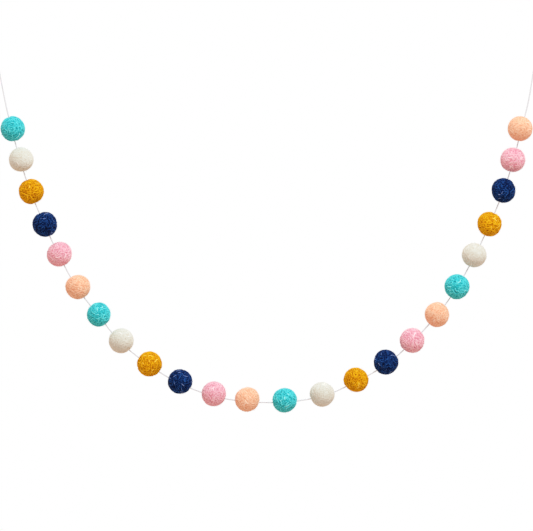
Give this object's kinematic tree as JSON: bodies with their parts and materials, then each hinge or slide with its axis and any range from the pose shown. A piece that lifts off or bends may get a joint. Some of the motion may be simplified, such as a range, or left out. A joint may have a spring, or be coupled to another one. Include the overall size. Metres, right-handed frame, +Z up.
{
  "type": "felt ball garland",
  "caption": "Wool felt balls in repeating turquoise, cream, mustard, navy, pink and peach, threaded on a thin string that hangs in a swag from a knotted loop at each end.",
  "frame": {"origin": "inside of the left loop's top, where it bears on its hook", "axes": "+X along the garland from the left loop to the right one, +Y away from whoever faces it, towards the wall, +Z up"},
  "size_m": [0.4566, 0.0205, 0.3199],
  "materials": {
    "felt_turquoise": "matt needled wool felt, finely fibrous",
    "felt_cream": "matt needled wool felt, finely fibrous",
    "felt_mustard": "matt needled wool felt, finely fibrous",
    "felt_navy": "matt needled wool felt with paler stray fibres",
    "felt_pink": "matt needled wool felt, finely fibrous",
    "felt_peach": "matt needled wool felt, finely fibrous",
    "string": "thin twisted off-white thread"
  },
  "bodies": {
    "root": {"ball_01_turquoise": "felt_turquoise", "ball_02_cream": "felt_cream", "ball_03_mustard": "felt_mustard", "ball_04_navy": "felt_navy", "ball_05_pink": "felt_pink", "ball_06_peach": "felt_peach", "ball_07_turquoise": "felt_turquoise", "ball_08_cream": "felt_cream", "ball_09_mustard": "felt_mustard", "ball_10_navy": "felt_navy", "ball_11_pink": "felt_pink", "ball_12_peach": "felt_peach", "ball_13_turquoise": "felt_turquoise", "ball_14_cream": "felt_cream", "ball_15_mustard": "felt_mustard", "ball_16_navy": "felt_navy", "ball_17_pink": "felt_pink", "ball_18_peach": "felt_peach", "ball_19_turquoise": "felt_turquoise", "ball_20_cream": "felt_cream", "ball_21_mustard": "felt_mustard", "ball_22_navy": "felt_navy", "ball_23_pink": "felt_pink", "ball_24_peach": "felt_peach", "string": "string", "left_knot": "string", "left_loop": "string", "right_knot": "string", "right_loop": "string"}
  },
  "joints": []
}
